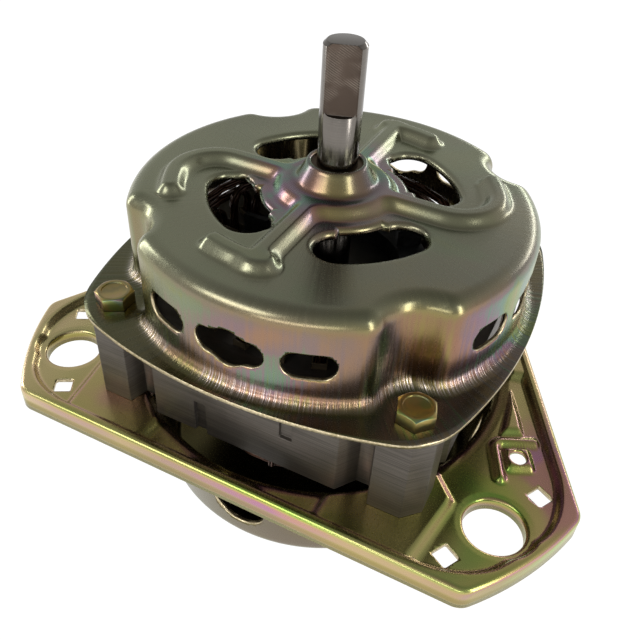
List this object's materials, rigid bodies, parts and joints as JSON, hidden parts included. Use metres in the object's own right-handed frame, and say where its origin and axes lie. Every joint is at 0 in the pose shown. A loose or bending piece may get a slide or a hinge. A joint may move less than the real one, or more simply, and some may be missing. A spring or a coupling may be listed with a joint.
{
  "type": "washing machine motor",
  "caption": "Capacitor-run induction motor with a drawn round drive end cover, square laminated stator, three-eared base plate with bowl, and a vertical flatted output shaft",
  "frame": {"origin": "centre of the circle of the three ear holes, on the shaft axis, in the plane of the ears' top faces", "axes": "+Z along the shaft towards its driven end, +X along the long front edge of the base, -Y towards that edge"},
  "size_m": [0.1902, 0.1686, 0.1473],
  "materials": {
    "zinc_cover": "yellow zinc plating, olive with rainbow tints",
    "zinc_base": "yellow zinc plating, gold with green and pink tints",
    "zinc_bolt": "yellow zinc plating, darker in the corners",
    "lamination": "stacked dark electrical steel edges",
    "ground_steel": "ground steel with fine turning marks",
    "spring_steel": "plain spring steel",
    "cast_aluminium": "die cast",
    "copper_main": "enamelled copper under varnish",
    "copper_auxiliary": "enamelled copper under varnish",
    "insulation": "polyester film",
    "wedge": "pressed fibre strip",
    "sintered_bronze": "porous, oil filled",
    "felt": "oil soaked felt",
    "nylon": "plain",
    "black_plastic": "plain"
  },
  "bodies": {
    "frame": {"drive_end_cover": "zinc_cover", "base_cover": "zinc_base", "stator_core": "lamination", "slot_liners": "insulation", "slot_wedges": "wedge", "main_winding": "copper_main", "auxiliary_winding": "copper_auxiliary", "through_bolts": "zinc_bolt", "lock_washers": "spring_steel", "hex_nuts": "zinc_bolt", "upper_bush": "sintered_bronze", "lower_bush": "sintered_bronze", "upper_oil_felt": "felt", "lower_oil_felt": "felt", "upper_bush_retainer": "spring_steel", "lower_bush_retainer": "spring_steel"},
    "rotor": {"shaft": "ground_steel", "rotor_core": "lamination", "rotor_cage": "cast_aluminium", "upper_thrust_washer": "nylon", "lower_thrust_washer": "nylon", "upper_oil_slinger": "black_plastic", "lower_oil_slinger": "black_plastic", "upper_retaining_ring": "spring_steel", "lower_retaining_ring": "spring_steel"}
  },
  "joints": [
    {"name": "rotor_spin", "type": "hinge", "parent": "frame", "child": "rotor", "pos_m": [0, 0, 0.03], "axis": [0, 0, 1], "continuous": true}
  ]
}
